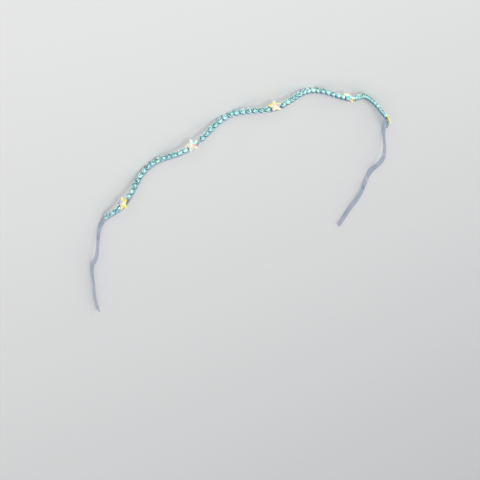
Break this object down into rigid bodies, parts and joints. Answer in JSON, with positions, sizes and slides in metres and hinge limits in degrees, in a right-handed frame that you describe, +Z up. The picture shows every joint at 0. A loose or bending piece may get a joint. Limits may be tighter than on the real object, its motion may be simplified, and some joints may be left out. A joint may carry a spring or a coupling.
{
  "type": "crystal headband",
  "caption": "Narrow waved headband arch with a single row of small round aqua crystals in joined cups and faceted star stones at its wave tops.",
  "frame": {"origin": "on the surface the headband lies on, below the middle of its bounding box", "axes": "+X to the wearer's left, +Y from the open end to the crown of the arch, +Z up, which is the worn front"},
  "size_m": [0.1486, 0.1382, 0.0089],
  "materials": {
    "band": "satin plated, pale lilac grey",
    "cups": "gloss aqua enamel",
    "crystals": "cut and polished, aqua",
    "stars": "cut and polished, iridescent coat"
  },
  "bodies": {
    "root": {"band": "band", "cups_1": "cups", "cups_2": "cups", "cups_3": "cups", "cups_4": "cups", "cups_5": "cups", "cups_6": "cups", "crystals_1": "crystals", "crystals_2": "crystals", "crystals_3": "crystals", "crystals_4": "crystals", "crystals_5": "crystals", "crystals_6": "crystals", "star_1": "stars", "star_2": "stars", "star_3": "stars", "star_4": "stars", "star_5": "stars"}
  },
  "joints": []
}
